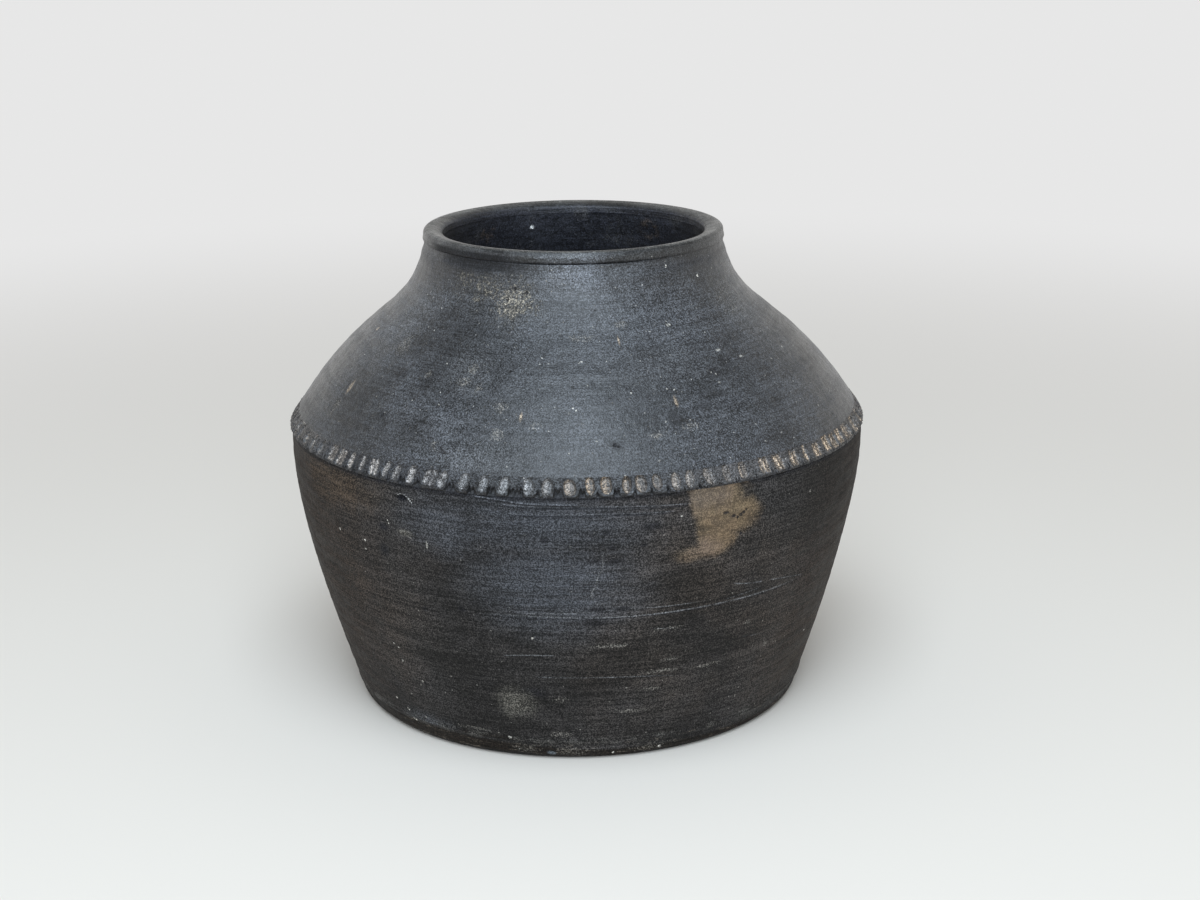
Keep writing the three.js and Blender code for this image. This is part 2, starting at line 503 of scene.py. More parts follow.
def notch_turns():
    pitch = 2 * math.pi / notch_count
    i = np.arange(notch_count)
    drift = spacing_wave * np.sin(i * spacing_waves * 2 * math.pi / notch_count)
    jitter = spacing_jitter * np.sin(i * jitter_step)
    return pitch * (i + drift + jitter)


def tone_at(degrees, stops):
    """A tone given at stops round the band, read at some degrees from the front."""
    return np.interp(degrees, *zip(*stops))


# Tones round the band, each as degrees from the front and a strength: how light the bare clay of the
# notches is, raised at the front left to paint their glints, how warm it is, and how far the lands
# between them are cut back below
notch_light = [
    (-180, 0.36), (-75, 0.24), (-60, 0.26), (-52, 0.34), (-46, 0.60), (-25, 0.54), (-15, 0.46),
    (-5, 0.42), (4, 0.48), (12, 0.46), (22, 0.40), (30, 0.36), (38, 0.60), (52, 0.90), (75, 0.66),
    (180, 0.36),
]
notch_warmth = [
    (-180, 0.5), (-60, 0.75), (-45, 0.40), (-25, 0.25), (-18, 0.12), (-6, 0.15), (-2, 0.60),
    (5, 0.95), (13, 0.7), (22, 0.45), (35, 0.8), (50, 0.95), (75, 0.75), (180, 0.5),
]
land_gaps = [
    (-180, 0.5), (-75, 0.35), (-45, 0.45), (-28, 0.85), (-5, 1.0), (8, 0.75), (16, 0.55),
    (23, 0.34), (75, 0.34), (100, 0.45), (180, 0.5),
]


# Painted on the band: bare clay, its lightness with a painted lit side, its warmth, dark edges of
# painted shade, and the painted shade of a land
band_layers = ("hollow", "light", "warmth", "edge", "shade")


def pressed_notches(turns, along):
    """The notches over the band's face: depth, bare clay, lightness with a painted lit left side,
    warmth, dark edge of painted shade, tongue.

    At the right they are narrow, ridged and often doubled, and at the left they are slim.
    """
    chance = np.random.default_rng(21)
    depth, bare, light, warmth, edge = (np.zeros((len(turns), len(along))) for _ in range(5))
    tongue = np.zeros(len(turns))
    for middle in notch_turns():
        degrees = float(front_degrees(middle))
        narrow = float(smooth_step(29, 36, degrees) * (1 - smooth_step(76, 96, degrees)))
        slim = float(smooth_step(-22, -36, degrees) * smooth_step(-100, -76, degrees))
        wide = notch_width * chance.uniform(0.84, 1.20) * (1 - 0.25 * narrow - 0.28 * slim)
        tall = notch_height * chance.uniform(0.90, 1.06)
        lean = chance.normal(0.0, 0.09) - 0.12 * narrow
        lift = notch_lift + chance.normal(0.0, 0.35) * mm
        deep = notch_depth * chance.uniform(0.75, 1.2)
        pointed = chance.uniform()
        crease = chance.uniform(-0.15, 0.2)
        doubled = chance.uniform() < 0.10 + 0.72 * narrow
        bright = chance.uniform(0.7, 1.25)
        tone = bright * tone_at(degrees, notch_light)
        aside = (turns - middle + math.pi) % (2 * math.pi) - math.pi
        for offset in (0.0, doubled_gap) if doubled else (0.0,):
            x = (aside[:, None] * belly_radius - offset + lean * along[None, :]) / wide
            y = (along[None, :] - lift) / tall
            side = np.abs(2 * x) ** (1.8 - 0.6 * pointed)
            cup = 1 - side - np.abs(2 * y) ** (3.0 - 0.8 * pointed)
            lip = 1 - 0.6 * smooth_step(0.0, -0.42, y)
            scoop = deep * smooth_step(0, 0.5, cup) * lip * (1 - 0.25 * (offset > 0))
            floor = smooth_step(0.04, 0.24, cup)
            # The left side of a notch is painted lighter as if lit, and the right side darker as if
            # shaded
            lit_left_facet = smooth_step(0.10, -0.10, x + crease)
            ridge = hump(x, -0.27, 0.12) + 0.5 * hump(x, 0.22, 0.08)
            shine = (1 - narrow) * (0.42 + 0.80 * lit_left_facet) + narrow * (0.20 + 1.7 * ridge)
            # Painted shade round the rim of each scoop and beside a ridge
            painted_shade_outline = hump(cup, -0.02, 0.12) * (0.55 + 0.45 * smooth_step(0.1, -0.2, x))
            beside_ridge = narrow * floor * hump(x, -0.06, 0.10)
            deeper = scoop > depth
            light = np.where(deeper, tone * shine, light)
            warmth = np.where(deeper, tone_at(degrees, notch_warmth), warmth)
            edge = np.where(deeper, np.maximum(painted_shade_outline, 0.8 * beside_ridge), np.maximum(edge, painted_shade_outline))
            bare = np.maximum(bare, floor)
            depth = np.maximum(depth, scoop)
            root = np.abs(aside * belly_radius - offset - lean * along[-1]) / wide
            tongue = np.maximum(tongue, smooth_step(0.72, 0.40, root))
    return depth, bare, light, warmth, edge, tongue


def band_face(rise):
    """Outline of the band: an undercut up to its nose, and a long slope up to the shoulder.

    Where the clay isn't pushed down over the edge, the nose lies higher by a rise and the
    undercut is a deep hollow.
    """
    low = np.array([float(lower_curve.radius(band_bottom)), band_bottom])
    high = np.array([float(upper_curve.radius(skin_from)), skin_from])
    nose = np.array([belly_radius + band_nose, band_bottom + band_nose_rise])
    nose = nose + rise * (high - nose) / np.linalg.norm(high - nose)
    share = rise / land_rise
    under = np.array([nose[0] - cavity_depth * share, band_bottom + (0.2 + 1.8 * share) * mm])
    middle = (nose + high) / 2 + band_crown
    undercut = bend(low, under, nose, np.linspace(0, 1, undercut_rows + 1)[:-1])
    slope = bend(nose, middle, high, np.linspace(0, 1, slope_rows))
    return np.concatenate([undercut, slope])


def notched_band():
    """The band, with one scoop for each notch and the clay of each pushed down as a tongue."""
    count = notch_count * columns_per_notch
    turns = even_turns(count)
    tongue_face = band_face(0)
    land_face = band_face(land_rise)
    slope = np.gradient(tongue_face, axis=0)
    outward = np.stack([slope[:, 1], -slope[:, 0]], -1)
    outward /= np.linalg.norm(outward, axis=1)[:, None]
    steps = np.linalg.norm(np.diff(tongue_face, axis=0), axis=1)
    along = np.concatenate([[0], np.cumsum(steps)])
    length = along[-1]
    free = smooth_step(0, 1.2 * mm, along) * smooth_step(0, 0.5 * mm, length - along)
    nose_along = along[undercut_rows]
    along = along - length / 2
    scoop, bare, light, warmth, edge, tongue = pressed_notches(turns, along)
    degrees = front_degrees(turns)
    gap = tone_at(degrees, land_gaps)
    uneven = land_unevenness * drag_waves(turns * 60, np.zeros(count), 15, 3 * mm, 9)
    opened = np.clip(gap * (1 - tongue) + uneven * (0.3 + 0.7 * (1 - tongue)), 0, 1.1)
    face = tongue_face[None] + opened[:, None, None] * (land_face - tongue_face)[None]
    inside = np.clip(scoop / notch_depth, 0, 1)
    marks = np.sin(turns * belly_radius / tool_spacing + 2 * np.sin(turns * 37))
    tool = tool_lines * marks[:, None] * inside
    crumbs = drag_waves(turns[:, None] * 60, along[None, :] * 2, 12, 3 * mm, 6)
    crumbs = band_crumbs * crumbs * (1 - 0.7 * inside)
    radial = outer_relief(turns[:, None], face[..., 1])
    push = (tool + crumbs - scoop) * free
    radius = face[..., 0] + outward[None, :, 0] * push + radial
    height = face[..., 1] + outward[None, :, 1] * push
    back = seat_radius + band_clearance
    front = turned(radius, turns[:, None], height)
    rear = turned(np.full((1, 3), back), turns[:, None], np.linspace(band_top, band_bottom, 3))
    points = np.concatenate([front, rear], axis=1)
    piece = finished_mesh(
        "notched_band_dressed", points.reshape(-1, 3), ring_faces(*points.shape[:2], closed=True)
    )
    past_nose = np.clip(along + length / 2 - nose_along, 0, None)
    over_cloud = smooth_step(17, 21, degrees) * (1 - smooth_step(33, 37, degrees))
    shade = (opened * (1 - 0.7 * over_cloud))[:, None] * hump(past_nose, 0, shade_width)[None, :]
    blank = np.zeros((count, 3))
    for layer_name, values in zip(band_layers, (bare, light, warmth, edge, shade)):
        paint(piece, layer_name, np.concatenate([values, blank], axis=1))
    return piece


def fill(tree, node, sockets):
    """Sets or links the sockets of a node, each given by its name or its place."""
    for key, value in sockets.items():
        socket = node.inputs[key]
        if isinstance(value, bpy.types.NodeSocket):
            tree.links.new(value, socket)
        elif isinstance(value, tuple) and socket.type == "RGBA":
            socket.default_value = (*value, 1)
        else:
            socket.default_value = value


def add_node(tree, kind, sockets, **settings):
    """A shader node of a kind, with its settings made and its sockets filled."""
    made = tree.nodes.new(kind)
    for key, value in settings.items():
        setattr(made, key, value)
    fill(tree, made, sockets)
    return made


class Clay:
    """The shader nodes of one clay: colour, grain, roughness and relief are built up in calls."""

    def __init__(self, name):
        self.material = bpy.data.materials.new(name)
        self.material.use_nodes = True
        self.material.node_tree.nodes.clear()
        self.place = self.node("ShaderNodeTexCoord", {}).outputs["Object"]
        x, y, z = self.node("ShaderNodeSeparateXYZ", {0: self.place}).outputs
        turn = self.math("ARCTAN2", x, self.math("MULTIPLY", y, -1.0))
        self.degrees = self.math("MULTIPLY", turn, math.degrees(1))
        self.height = self.math("MULTIPLY", z, 1 / mm)
        across = self.math("MULTIPLY", turn, belly_radius)
        self.chart = self.node("ShaderNodeCombineXYZ", {0: across, 1: z}).outputs[0]
        self.ragged = self.math("SUBTRACT", self.noise(self.place, 110, 6, 0.62), 0.5)
        shake = self.node("ShaderNodeTexNoise", {"Vector": self.place, "Scale": 800, "Detail": 2})
        centred = self.vector("SUBTRACT", shake.outputs["Color"], (0.5, 0.5, 0.5))
        self.shaken = self.vector("ADD", self.place, self.vector("SCALE", centred, shake_reach))
        self.color = self.grain = self.rough = self.relief = None

    def node(self, kind, sockets, **settings):
        return add_node(self.material.node_tree, kind, sockets, **settings)

    def math(self, operation, *values):
        sockets = dict(enumerate(values))
        return self.node("ShaderNodeMath", sockets, operation=operation).outputs[0]

    def vector(self, operation, first, second=None):
        sockets = {0: first}
        if second is not None:
            sockets["Scale" if operation == "SCALE" else 1] = second
        made = self.node("ShaderNodeVectorMath", sockets, operation=operation)
        return made.outputs["Value" if operation in ("LENGTH", "DISTANCE") else "Vector"]

    def painted(self, layer_name):
        return self.node("ShaderNodeAttribute", {}, attribute_name=layer_name).outputs["Fac"]

    def noise(self, vector, scale, detail, rough):
        sockets = {"Vector": vector, "Scale": scale, "Detail": detail, "Roughness": rough}
        return self.node("ShaderNodeTexNoise", sockets).outputs["Fac"]

    def streaks(self, across, up, detail, rough):
        """Level streaks, with so many waves to a metre across and up."""
        return self.noise(self.vector("MULTIPLY", self.place, (across, across, up)), 1, detail, rough)

    def ramp(self, value, low, high, to_low=0.0, to_high=1.0, shape="LINEAR"):
        sockets = dict(enumerate((value, low, high, to_low, to_high)))
        return self.node("ShaderNodeMapRange", sockets, interpolation_type=shape).outputs[0]

    def span(self, value, low, high, to_low=0.0, to_high=1.0):
        """A ramp that leaves and arrives softly."""
        return self.ramp(value, low, high, to_low, to_high, "SMOOTHSTEP")

    def mix(self, share, first, second):
        sockets = {"Factor": share, 6: first, 7: second}
        return self.node("ShaderNodeMix", sockets, data_type="RGBA").outputs[2]

    def grains(self, scale, keep, size):
        """Small round grains: a share of the cells of a grid hold one, of a given size."""
        sockets = {"Vector": self.shaken, "Scale": scale}
        cells = self.node("ShaderNodeTexVoronoi", sockets, feature="F1")
        split = self.node("ShaderNodeSeparateColor", {0: cells.outputs["Color"]})
        chosen = self.math("GREATER_THAN", split.outputs[0], 1 - keep)
        return self.times(chosen, self.span(cells.outputs["Distance"], size, size * 0.5))

    def patch(self, degrees, height, wide, tall, soft, ragged):
        """Spot with half widths in millimetres at the belly, a softness and a raggedness."""
        centre = (math.radians(degrees) * belly_radius, height * mm, 0)
        away = self.vector("SUBTRACT", self.chart, centre)
        away = self.vector("MULTIPLY", away, (1 / (wide * mm), 1 / (tall * mm), 0))
        away = self.vector("LENGTH", away)
        away = self.math("MULTIPLY_ADD", self.ragged, ragged, away)
        return self.span(away, 1 + soft, 1 - soft)

    def patches(self, soft, ragged, *places):
        """Patches of one softness and raggedness, each with a strength at its end if below 1."""
        spots = [self.times(self.patch(*place[:4], soft, ragged), *place[4:]) for place in places]
        return self.union(*spots)

    def fleck(self, degrees, height, size):
        """Round speck of a radius in millimetres on the outer skin."""
        return self.ball(skin_point(degrees, height * mm), size * mm)

    def flecks(self, *places):
        return self.union(*[self.fleck(*place) for place in places])

    def ball(self, centre, size):
        return self.span(self.vector("DISTANCE", self.shaken, centre), size, size * 0.6)

    def trail(self, places, width, upright=False):
        """Thin broken line through places of degrees and millimetres, fading at both ends."""
        along, across = (1, 0) if upright else (0, 1)
        places = sorted(places, key=lambda place: place[along])
        first, last = places[0][along], places[-1][along]
        least = min(place[across] for place in places) - 0.01
        most = max(place[across] for place in places) + 0.01
        run = self.height if upright else self.degrees
        side = self.degrees if upright else self.height
        share = self.ramp(run, first, last)
        bend = self.node("ShaderNodeFloatCurve", {"Value": share})
        line = bend.mapping.curves[0]
        for index, place in enumerate(places):
            at = (place[along] - first) / (last - first)
            level = (place[across] - least) / (most - least)
            if index in (0, len(places) - 1):
                line.points[0 if index == 0 else -1].location = (at, level)
            else:
                line.points.new(at, level)
        bend.mapping.update()
        level = self.ramp(bend.outputs[0], 0.0, 1.0, least, most)
        gap = self.math("ABSOLUTE", self.math("SUBTRACT", side, level))
        reach = width / (math.radians(1) * belly_radius / mm) if upright else width
        return self.times(
            self.span(gap, reach, reach * 0.25),
            self.span(share, 0.0, 0.10),
            self.span(share, 1.0, 0.90),
            self.span(self.ragged, -0.14, 0.06, 0.20, 1.0),
        )

    def trails(self, width, *lines):
        """Level trails of one width."""
        return self.union(*[self.trail(places, width) for places in lines])

    def scattered(self, mask, scale):
        """Crumbs that lie close in the middle of a patch and thin out towards its edge."""
        crumbs = self.noise(self.place, scale, 3, 0.75)
        return self.span(self.math("MULTIPLY_ADD", mask, 0.20, crumbs), 0.66, 0.72)

    def union(self, *masks):
        total = masks[0]
        for mask in masks[1:]:
            total = self.math("MAXIMUM", total, mask)
        return total

    def times(self, *masks):
        total = masks[0]
        for mask in masks[1:]:
            total = self.math("MULTIPLY", total, mask)
        return total

    def tint(self, mask, color, strength=1.0, rough=0.0, depth=0.0):
        """Colours the clay where a mask is, and makes it rougher and higher there."""
        share = mask if strength == 1.0 else self.times(mask, strength)
        self.color = self.mix(share, self.color, color)
        if rough:
            self.roughen(mask, rough)
        if depth:
            self.emboss(mask, depth)

    def roughen(self, mask, amount):
        self.rough = self.math("MULTIPLY_ADD", mask, amount, self.rough)

    def calm(self, mask, strength):
        """Less grain where the mask is."""
        rest = self.math("MULTIPLY", self.math("SUBTRACT", 1.0, self.grain), strength)
        self.grain = self.math("MULTIPLY_ADD", rest, mask, self.grain)

    def emboss(self, mask, depth):
        self.relief = self.math("MULTIPLY_ADD", mask, depth, self.relief)

    def finish(self, gloss, dust=0.0):
        bump = {"Strength": 1.0, "Distance": 1.0, "Height": self.relief}
        shader = self.node("ShaderNodeBsdfPrincipled", {
            "Base Color": self.vector("SCALE", self.color, self.grain),
            "Roughness": self.rough,
            "Normal": self.node("ShaderNodeBump", bump).outputs[0],
            "Specular IOR Level": gloss,
            "Sheen Weight": dust,
            "Sheen Roughness": 0.5,
            "Sheen Tint": dust_sheen,
        })
        self.node("ShaderNodeOutputMaterial", {"Surface": shader.outputs[0]})
        return self.material


# Colours of the clay
soot_black = (0.009, 0.009, 0.011)
wall_dark = (0.0158, 0.0144, 0.0138)
wall_light = (0.0310, 0.0287, 0.0280)
burnish_dark = (0.0235, 0.0246, 0.0270)
burnish_light = (0.0490, 0.0515, 0.0570)
rim_dark = (0.017, 0.0175, 0.018)
rim_light = (0.036, 0.0365, 0.037)
inside_soot_and_shade_blue = (0.014, 0.015, 0.021)
fired_brown = (0.075, 0.056, 0.042)
flank_brown_and_reflection = (0.027, 0.0190, 0.0138)
cloud_brown = (0.190, 0.132, 0.080)
lime = (0.28, 0.245, 0.19)
pale_grit = (0.42, 0.40, 0.36)
dust_grey = (0.108, 0.103, 0.094)
blue_grey = (0.062, 0.067, 0.078)
smoke_and_shade_brown = (0.010, 0.009, 0.008)
scorch_brown = (0.062, 0.042, 0.026)
highlight_grey = (0.118, 0.124, 0.138)
cloud_ochre = (0.178, 0.128, 0.076)
cloud_grey = (0.128, 0.104, 0.088)
cloud_pink = (0.15, 0.112, 0.092)
scratch_grey = (0.125, 0.128, 0.134)
crack_grey = (0.180, 0.180, 0.180)
blister_white = (0.26, 0.26, 0.255)
heel_brown_and_shade = (0.0085, 0.0058, 0.0038)
crumb_grey = (0.150, 0.140, 0.125)
crumb_brown = (0.150, 0.138, 0.122)
heel_crumbs = (0.165, 0.150, 0.130)
heel_blue = (0.080, 0.086, 0.096)
heel_flake = (0.160, 0.185, 0.205)
scuff_brown = (0.120, 0.100, 0.080)
worn_grey = (0.118, 0.110, 0.094)
smoke_and_shade_grey = (0.014, 0.014, 0.0145)
smoke_and_shade_dark = (0.012, 0.012, 0.0125)
shoulder_dust = (0.074, 0.076, 0.080)
shoulder_flank_brown = (0.050, 0.045, 0.040)
bare_orange = (0.300, 0.232, 0.165)
crust_dust = (0.082, 0.075, 0.063)
neck_painted_highlight = (0.110, 0.118, 0.138)
drop_white = (0.62, 0.62, 0.60)
rim_painted_highlight = (0.120, 0.130, 0.150)
band_earth = (0.056, 0.048, 0.042)
notch_grey = (0.34, 0.35, 0.365)
notch_ochre = (0.40, 0.285, 0.180)
fold_pale = (0.360, 0.320, 0.280)
dust_sheen = (0.62, 0.54, 0.44)


def black_clay(name, dark, light, smooth, rough, dragged=1.0):
    """Smoked black clay with clouds, fine level lines, salt-and-pepper grain, grit and pores."""
    clay = Clay(name)
    clouds = clay.noise(clay.place, 16, 5, 0.6)
    coarse = clay.noise(clay.place, 65, 2, 0.9)
    fine = clay.noise(clay.place, 1500, 1, 0.8)
    speckle = clay.noise(clay.place, 520, 2, 0.8)
    lines = clay.streaks(34, 1100, 3, 0.65)
    smears = clay.streaks(14, 230, 3, 0.6)
    clay.color = clay.mix(clay.span(clouds, 0.36, 0.64), dark, light)
    contrasts = [
        (fine, 8.6), (speckle, 2.4), (coarse, 1.0), (lines, 3.8 * dragged), (smears, 2.0 * dragged),
    ]
    grain = 1.0 - sum(contrast for _, contrast in contrasts) / 2
    for pattern, contrast in contrasts:
        grain = clay.math("MULTIPLY_ADD", pattern, contrast, grain)
    clay.grain = clay.math("MAXIMUM", grain, darkest_grain)
    clay.rough = clay.span(clay.math("ADD", coarse, smears), 0.8, 1.2, smooth, rough)
    clay.relief = clay.math("MULTIPLY", lines, 0.20 * mm * dragged)
    for pattern, depth in ((fine, 0.20), (speckle, 0.16), (coarse, 0.9), (smears, 0.25 * dragged)):
        clay.emboss(pattern, depth * mm)
    grit = clay.grains(620, 0.035, 0.30)
    pores = clay.grains(360, 0.04, 0.24)
    clay.tint(grit, pale_grit, 0.45)
    clay.tint(pores, soot_black, 0.85)
    clay.emboss(grit, 0.06 * mm)
    clay.emboss(pores, -0.15 * mm)
    return clay


def sooty_shaded_inside(clay):
    """The inside is blacker and duller with soot and painted shade, with faint smears."""
    soot_and_shade = clay.painted("soot_and_shade")
    smears = clay.times(soot_and_shade, clay.span(clay.noise(clay.place, 60, 5, 0.65), 0.56, 0.72))
    clay.tint(soot_and_shade, inside_soot_and_shade_blue, 0.85)
    clay.tint(smears, dust_grey, 0.22)
    clay.roughen(soot_and_shade, 0.12)


def wall_look():
    clay = black_clay("wall_clay_look", wall_dark, wall_light, 0.60, 0.78)
    wall_tones(clay)
    lines_under_band(clay)
    firing_cloud(clay)
    wall_scratches(clay)
    burst_bubble(clay)
    wall_specks(clay)
    wall_crumbs(clay)
    sooty_shaded_inside(clay)
    return clay.finish(wall_gloss)


def wall_tones(clay):
    """Wide brown patches with a painted reflection of a warm floor at the flanks, smoked patches that
    partly paint shade, burnished ones that also paint a sheen, scorched ones, and the painted shadow
    under the band.
    """
    warm = clay.span(clay.noise(clay.place, 9, 4, 0.6), 0.48, 0.70)
    clay.tint(warm, fired_brown, 0.35)
    # Brown at both flanks: fired brown of the clay, together with a painted reflection of a warm floor
    left_flank = clay.patch(-66, 95, 62, 80, 0.5, 0.9)
    right_flank = clay.patch(68, 80, 50, 80, 0.5, 0.9)
    clay.tint(left_flank, flank_brown_and_reflection, 0.68)
    clay.tint(right_flank, flank_brown_and_reflection, 0.62)
    dark_front = clay.patch(0, 75, 110, 90, 0.5, 0.4)
    clay.tint(dark_front, wall_dark, 0.35)
    # Smoke, partly painted shade: under the band at the right it paints the band's shadow, and at 20
    # degrees it paints shade into the wall's highlight
    smoke_and_painted_shade = clay.union(
        clay.patch(55, 126, 34, 24, 0.6, 0.9), clay.patch(18, 58, 42, 9, 0.7, 1.3),
        clay.patch(20, 97, 11, 16, 0.7, 1.2), clay.patch(-29, 54, 16, 8, 0.8, 1.4),
    )
    clay.tint(smoke_and_painted_shade, smoke_and_shade_brown, 0.52)
    # Burnished blue-grey clay in front, made lighter so that it also paints the sheen of the window's
    # highlight
    burnish_and_painted_sheen = clay.union(
        clay.patch(-3, 99, 36, 21, 0.8, 0.6),
        clay.times(clay.patch(-5, 133, 46, 14, 0.8, 0.9), 0.80),
        clay.times(clay.patch(-24, 128, 20, 13, 0.8, 1.0), 0.75),
    )
    burnish_and_painted_sheen = clay.times(burnish_and_painted_sheen, clay.span(clay.streaks(26, 330, 5, 0.6), 0.25, 0.6, 0.55, 1.0))
    clay.tint(burnish_and_painted_sheen, blue_grey, 0.68, rough=-0.16)
    clay.calm(burnish_and_painted_sheen, 0.25)
    scorched = clay.patch(-51, 138, 26, 11, 0.8, 1.4)
    clay.tint(scorched, scorch_brown, 0.45)
    shadow_line = clay.times(
        clay.span(clay.height, 142.6, 145.0),
        clay.span(clay.ragged, -0.22, 0.0, 0.55, 1.0),
    )
    clay.tint(shadow_line, soot_black, 0.85)


def lines_under_band(clay):
    """Level lines dragged under the band, each a painted highlight along its edge with painted shade in
    the furrow below.
    """
    painted_highlight_edges = [
        [(-19, 145.0), (-13, 143.8), (-9.5, 142.9), (-4, 142.5), (2, 142.3)],
        [(-15, 142.2), (-7, 141.2), (3, 141.1), (14, 140.0), (24, 139.0)],
        [(-13, 137.5), (1, 137.5), (14, 136.8), (19, 136.4)],
    ]
    painted_shade_furrows = [[(degrees, height - 0.9) for degrees, height in edge] for edge in painted_highlight_edges]
    # Painted highlight on the upper edge of each line, and painted shade in the furrow under it
    clay.tint(clay.trails(0.45, *painted_highlight_edges), highlight_grey, 0.64)
    clay.tint(clay.trails(0.50, *painted_shade_furrows), soot_black, 0.80)


def firing_cloud(clay):
    """The brown patch under the band at the right, where smoke did not reach the clay."""
    cloud = clay.union(
        clay.patch(26.4, 140, 15.5, 11, 0.36, 0.9), clay.patch(29.0, 130, 16.5, 9.5, 0.38, 0.8),
        clay.patch(26.3, 119.5, 12.5, 8, 0.38, 1.0),
    )
    leaning = clay.math("MULTIPLY_ADD", clay.height, 0.09, clay.degrees)
    left_edge = clay.span(clay.math("MULTIPLY_ADD", clay.ragged, 3.0, leaning), 33.0, 34.6)
    lobe = clay.times(clay.patch(22.8, 113.6, 9, 3.4, 0.7, 1.2), 0.55)
    cloud = clay.union(clay.times(cloud, left_edge), lobe)
    mottle = clay.noise(clay.place, 130, 6, 0.7)
    ochre = clay.span(clay.noise(clay.place, 55, 2, 0.6), 0.38, 0.62)
    hue = clay.mix(ochre, cloud_brown, cloud_ochre)
    clay.tint(clay.times(cloud, clay.span(mottle, 0.34, 0.60, 0.62, 1.0)), hue, 0.74)
    grey_top = clay.times(cloud, clay.patch(24, 144, 14, 9, 0.7, 1.4))
    clay.tint(grey_top, cloud_grey, 0.50)
    clay.calm(cloud, 0.62)
    pink = clay.patch(24, 114, 9, 6, 0.7, 1.5)
    clay.tint(clay.times(pink, cloud), cloud_pink, 0.5)
    marks = clay.union(
        clay.patches(0.5, 2, (28.6, 131.9, 1.9, 0.9), (30.2, 129.6, 1.3, 0.9)),
        clay.flecks(
            (31.2, 128.5, 0.9), (31.8, 129.5, 1.2), (32.4, 130.6, 1.2), (33, 131.7, 0.8),
            (32.1, 119.9, 1.1),
        ),
    )
    clay.tint(marks, soot_black, 0.85, depth=-0.30 * mm)
    clay.roughen(cloud, 0.08)


def wall_scratches(clay):
    deep = [(-19, 83.7), (-10.6, 84.2), (1.2, 83.8), (11, 83.5), (26, 83.8), (54, 83.6)]
    plain = clay.trails(
        0.45,
        [(-11, 85.6), (2, 86.5), (8.5, 87.8), (19, 87), (27, 86.9)],
        [(31.5, 93.6), (35, 91.5), (39.5, 90)],
        [(-15, 61), (-11.3, 61.8), (-8, 62.3), (-4, 62.5)],
        [(-9, 49.7), (-3.3, 49.7), (7, 49.2), (22.6, 45.6)],
        [(15, 75.6), (18, 74.8), (20.5, 74.4)],
        [(36.5, 60.6), (39.5, 59.4), (43, 58.3)],
        [(118, 62), (126, 64), (141, 65.2)],
        [(-158, 97), (-140, 95), (-121, 95.8)],
    )
    thin = clay.trails(0.40, [(30, 85.2), (34, 86), (39, 86.8)], [(41, 89.6), (46, 87.6), (53, 84.2)])
    scratches = clay.union(clay.trail(deep, 0.55), plain, thin)
    crack = clay.trail(
        [(5.3, 118.5), (5.1, 110), (4.3, 105.8), (4.0, 101.2), (3.2, 96.2), (4.0, 91.9), (4.5, 87.5)],
        0.60, upright=True,
    )
    clay.tint(scratches, scratch_grey, 0.55)
    clay.tint(crack, crack_grey, 0.52)
    clay.emboss(scratches, -0.10 * mm)
    clay.emboss(crack, 0.05 * mm)
    below = clay.trail([(-19, 82.9), (1.2, 83.0), (11, 82.7), (26, 83.0), (54, 82.8)], 0.50)
    clay.tint(below, soot_black, 0.6)


def burst_bubble(clay):
    """Black in the hollow of the burst blister, and its pale broken lid."""
    hollow = clay.patch(-33.0, 138.9, 2.6, 1.3, 0.35, 0.9)
    lid = clay.flecks(
        (-33.7, 140.3, 0.45), (-33.2, 140.7, 0.5), (-32.7, 140.8, 0.55), (-32.2, 140.4, 0.55),
        (-31.8, 139.8, 0.5), (-31.4, 139, 0.6), (-31.1, 138, 0.6), (-30.8, 137.2, 0.5),
        (-30, 136.6, 0.4),
    )
    clay.tint(hollow, soot_black, 0.95, rough=0.2)
    clay.tint(lid, blister_white, 0.85)


def wall_specks(clay):
    """Pale specks and black smudges."""
    specks = clay.union(
        clay.times(clay.patch(-28.1, 116.9, 0.5, 1.8, 0.6, 0.6), 0.6),
        clay.flecks(
            (-42.3, 54.7, 0.75), (-41.2, 53.3, 0.6), (-41, 45.5, 0.85), (-36.5, 36.2, 0.8),
            (-48.2, 18.5, 0.9), (-44.6, 13.9, 1), (-43.4, 9.4, 0.9), (-42.8, 8.8, 0.8),
            (-38.8, 13, 0.7), (-15.9, 11.5, 1.05), (-15.6, 9.8, 0.6), (-8.5, 72, 0.8),
            (50, 131, 0.7), (19.7, 133.4, 0.55), (-52, 112, 0.8), (-36.7, 125.6, 0.5),
            (-36.6, 124.5, 0.5), (-43.9, 111.3, 0.75), (-44.1, 106.4, 0.6), (-30.6, 80.7, 0.5),
            (-41.5, 25.5, 0.6), (63, 44, 0.7), (104, 93, 0.9), (151, 40, 0.8), (-122, 71, 0.9),
        ),
    )
    clay.tint(specks, pale_grit, 0.85, depth=0.08 * mm)
    smudges = clay.union(
        clay.patches(
            0.5, 0.9, (7.4, 113.6, 3.8, 1.4), (3.6, 113.9, 3, 0.8), (5.8, 128.4, 1.7, 1.5),
            (6.7, 120.4, 2.4, 0.9), (12.7, 121, 1.8, 0.8), (9.2, 88, 3.6, 1.2), (4.4, 88, 5.6, 1.1),
        ),
        clay.patch(14.2, 130.0, 5.0, 1.8, 0.7, 1.4), clay.patch(-5.2, 124.8, 1.8, 1.4, 0.6, 1.2),
        clay.patch(4.2, 80.6, 6.5, 1.8, 0.7, 1.3), clay.patch(-30.8, 81.2, 1.6, 1.3, 0.5, 1.0),
        clay.patches(0.6, 1.6, (-22.3, 84.9, 2.4, 1.5), (-38, 122, 3, 2)),
        clay.patches(0.7, 1.6, (-38.5, 109.4, 3, 3), (-10, 40, 9, 3)),
    )
    clay.tint(smudges, soot_black, 0.8)


